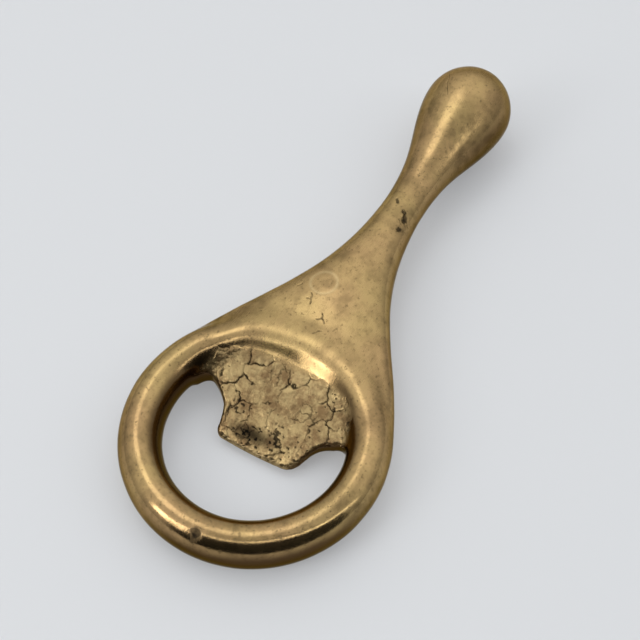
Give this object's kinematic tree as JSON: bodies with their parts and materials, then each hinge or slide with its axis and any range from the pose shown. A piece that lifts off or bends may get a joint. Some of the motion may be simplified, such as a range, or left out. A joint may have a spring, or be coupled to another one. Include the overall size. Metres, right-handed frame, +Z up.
{
  "type": "bottle opener",
  "caption": "Hand-held cast brass bottle opener: open ring with a sloping pry tongue, flat shoulder, slim round neck and a drop-shaped bulb grip.",
  "frame": {"origin": "centre of the bounding box's bottom, on the table the opener rests on", "axes": "+X from the ring to the bulb, +Z up from the table; the ring's front and the bulb touch the table, so the ring's plane leans 2.3 degrees"},
  "size_m": [0.1378, 0.056, 0.021],
  "materials": {
    "brass": "aged, satin-polished cast brass with tarnish in the pits"
  },
  "bodies": {
    "root": {"opener_casting": "brass"}
  },
  "joints": []
}
